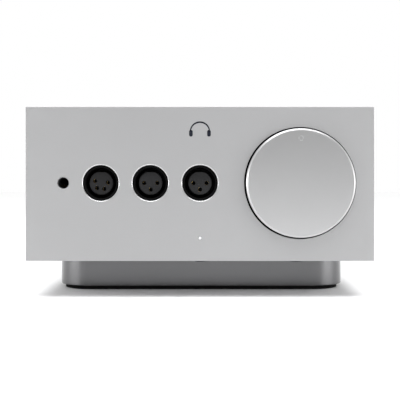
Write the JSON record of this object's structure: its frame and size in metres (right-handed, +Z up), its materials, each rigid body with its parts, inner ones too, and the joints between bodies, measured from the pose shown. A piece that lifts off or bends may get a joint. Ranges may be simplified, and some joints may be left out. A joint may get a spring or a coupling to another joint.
{
  "type": "headphone amplifier",
  "caption": "Desktop headphone amplifier: silver case on a recessed plinth, large volume knob, round and jack headphone sockets in front, audio and mains connections behind.",
  "frame": {"origin": "middle of the whole object's footprint box, on the surface that it stands on", "axes": "+X to the right as seen from the front, +Y from front to back, +Z up"},
  "size_m": [0.22, 0.354, 0.1215],
  "materials": {
    "silver_aluminium": "fine bead-blasted and clear anodised",
    "grey_plate": "fine satin anodised sheet and extrusion",
    "zinc_plated_steel": "bright zinc plating",
    "black_steel": "black oxide",
    "black_zinc": "die-cast shell with a smooth black coating",
    "dark_insulator": "moulded dark grey insulator",
    "gold_plated_brass": "gold plated",
    "black_moulding": "finely textured moulding",
    "black_rubber": "matte rubber",
    "clear_light_pipe": "polished clear plastic, lit white",
    "circuit_board": "green solder mask",
    "pale_plastic": "pale moulded plastic",
    "red_film": "dipped film capacitor",
    "capacitor_sleeve": "shrink sleeve with a bare top",
    "potentiometer_case": "dark enclosed case",
    "wound_transformer": "iron core under layers of clear film tape and copper wire",
    "fuse_glass": "glass tube"
  },
  "bodies": {
    "case": {"front_panel": "silver_aluminium", "cover": "silver_aluminium", "cover_rails": "grey_plate", "base_tray": "grey_plate", "rear_panel": "grey_plate", "plinth": "silver_aluminium", "foot_ring": "black_rubber", "plinth_screws": "black_steel", "tray_screws": "black_steel", "rear_panel_screws": "black_steel", "front_bracket": "zinc_plated_steel", "front_bracket_screws": "black_steel", "four_pin_shell": "black_zinc", "four_pin_insert": "dark_insulator", "left_socket_shell": "black_zinc", "left_socket_insert": "dark_insulator", "right_socket_shell": "black_zinc", "right_socket_insert": "dark_insulator", "socket_contacts": "gold_plated_brass", "jack_socket_body": "black_moulding", "jack_contacts": "gold_plated_brass", "status_light_pipe": "clear_light_pipe", "volume_potentiometer": "potentiometer_case", "potentiometer_nut": "zinc_plated_steel", "button_switches": "black_moulding", "button_board": "circuit_board", "output_board": "circuit_board", "main_board": "circuit_board", "relays": "pale_plastic", "film_capacitors": "red_film", "supply_board": "circuit_board", "reservoir_capacitors": "capacitor_sleeve", "left_heat_sink": "grey_plate", "right_heat_sink": "grey_plate", "output_transistors": "black_moulding", "board_standoffs": "gold_plated_brass", "transformer": "wound_transformer", "transformer_pads": "black_rubber", "transformer_washer": "zinc_plated_steel", "transformer_bolt": "zinc_plated_steel", "input_board": "circuit_board", "input_shells": "black_zinc", "input_inserts": "dark_insulator", "input_socket_screws": "black_steel", "phono_sockets": "gold_plated_brass", "phono_insulators": "pale_plastic", "link_sockets": "black_moulding", "mains_inlet": "black_moulding", "inlet_blades": "zinc_plated_steel", "switch_housing": "black_moulding"},
    "volume_control": {"volume_knob": "silver_aluminium", "knob_set_screw": "black_steel", "potentiometer_shaft": "zinc_plated_steel"},
    "power_button": {"power_button": "black_moulding"},
    "function_button": {"function_button": "black_moulding"},
    "left_input_latch": {"left_input_latch": "zinc_plated_steel"},
    "right_input_latch": {"right_input_latch": "zinc_plated_steel"},
    "fuse_drawer": {"fuse_drawer": "black_moulding", "mains_fuse": "fuse_glass"},
    "switch_rocker": {"switch_rocker": "black_moulding"}
  },
  "joints": [
    {"name": "volume_knob_turn", "type": "hinge", "parent": "case", "child": "volume_control", "pos_m": [0.0632, -0.161, 0.07335], "axis": [0, 1, 0], "range_deg": [-150, 150]},
    {"name": "power_button_press", "type": "slide", "parent": "case", "child": "power_button", "axis": [0, 0, 1], "range_m": [0, 0.0009], "stiffness_N_per_m": 800, "springref_m": -0.001},
    {"name": "function_button_press", "type": "slide", "parent": "case", "child": "function_button", "axis": [0, 0, 1], "range_m": [0, 0.0009], "stiffness_N_per_m": 800, "springref_m": -0.001},
    {"name": "mains_switch_rock", "type": "hinge", "parent": "case", "child": "switch_rocker", "pos_m": [0.08, 0.165, 0.1002], "axis": [1, 0, 0], "range_deg": [0, 24]},
    {"name": "fuse_drawer_slide", "type": "slide", "parent": "case", "child": "fuse_drawer", "axis": [0, 1, 0], "range_m": [0, 0.02]},
    {"name": "left_input_latch_press", "type": "slide", "parent": "case", "child": "left_input_latch", "axis": [0, -1, 0], "range_m": [0, 0.0014], "stiffness_N_per_m": 1500, "springref_m": -0.001},
    {"name": "right_input_latch_press", "type": "slide", "parent": "case", "child": "right_input_latch", "axis": [0, -1, 0], "range_m": [0, 0.0014], "stiffness_N_per_m": 1500, "springref_m": -0.001}
  ]
}
